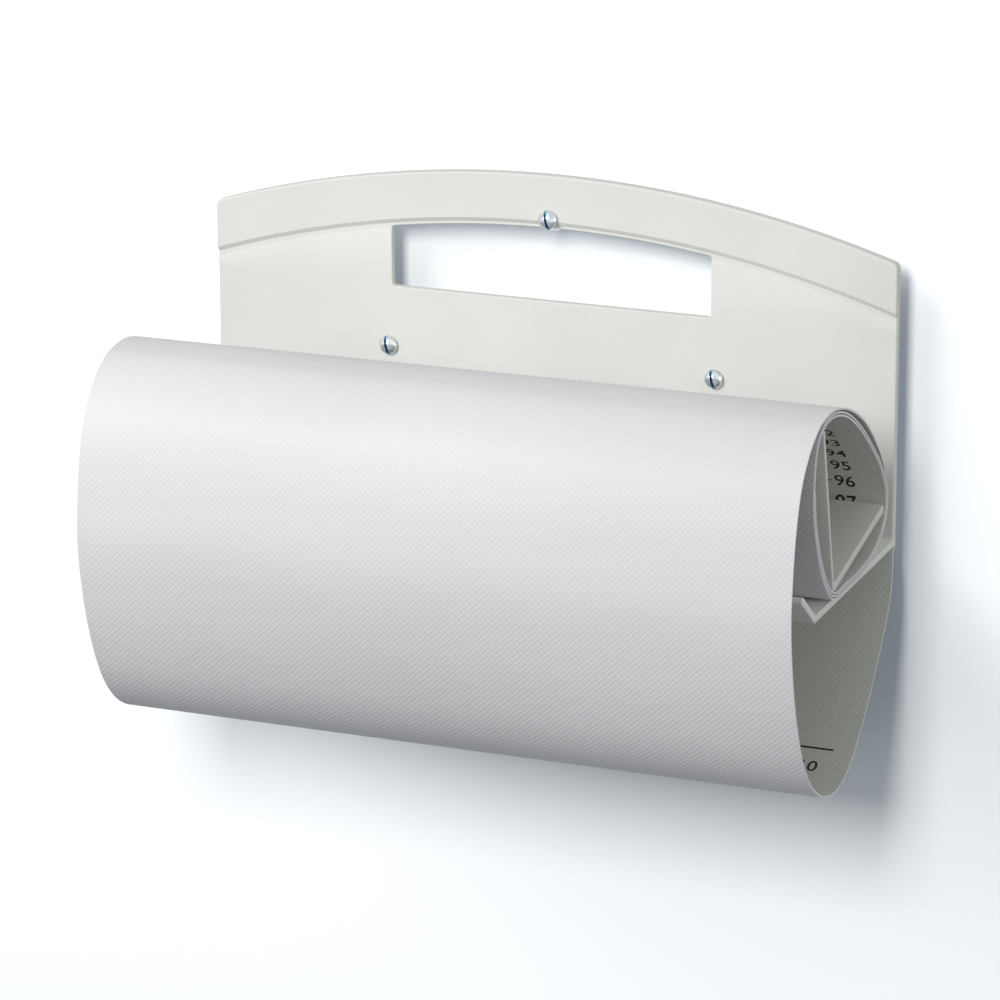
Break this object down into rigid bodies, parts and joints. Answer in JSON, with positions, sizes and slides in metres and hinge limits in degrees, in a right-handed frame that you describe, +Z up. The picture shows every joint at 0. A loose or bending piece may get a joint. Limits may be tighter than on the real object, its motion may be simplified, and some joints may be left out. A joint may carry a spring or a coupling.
{
  "type": "infantometer",
  "caption": "Roll-up measuring mat for babies: an arched head plate with a hand hole and flange, the scale mat rolled in front of it round a loose angled foot piece.",
  "frame": {"origin": "middle of the top binding post's flat back face, where the head plate lies against a wall", "axes": "+Z up as it hangs, +X to the viewer's right along the roll, +Y into the wall"},
  "size_m": [0.3, 0.1421, 0.219],
  "materials": {
    "head_plastic": "fine-grained moulded plastic",
    "mat_sheet": "finely embossed sheet with a black printed scale",
    "foot_plastic": "fine-grained moulded plastic",
    "screw_metal": "bright zinc plate"
  },
  "bodies": {
    "head": {"head_plate": "head_plastic", "measuring_mat": "mat_sheet", "binding_screw_top": "screw_metal", "binding_post_top": "screw_metal", "binding_screw_left": "screw_metal", "binding_post_left": "screw_metal", "binding_screw_right": "screw_metal", "binding_post_right": "screw_metal"},
    "foot": {"foot_piece": "foot_plastic"}
  },
  "joints": [
    {"name": "foot_slide", "type": "slide", "parent": "head", "child": "foot", "axis": [1, 0, 0], "range_m": [-0.28, 0.28]}
  ]
}
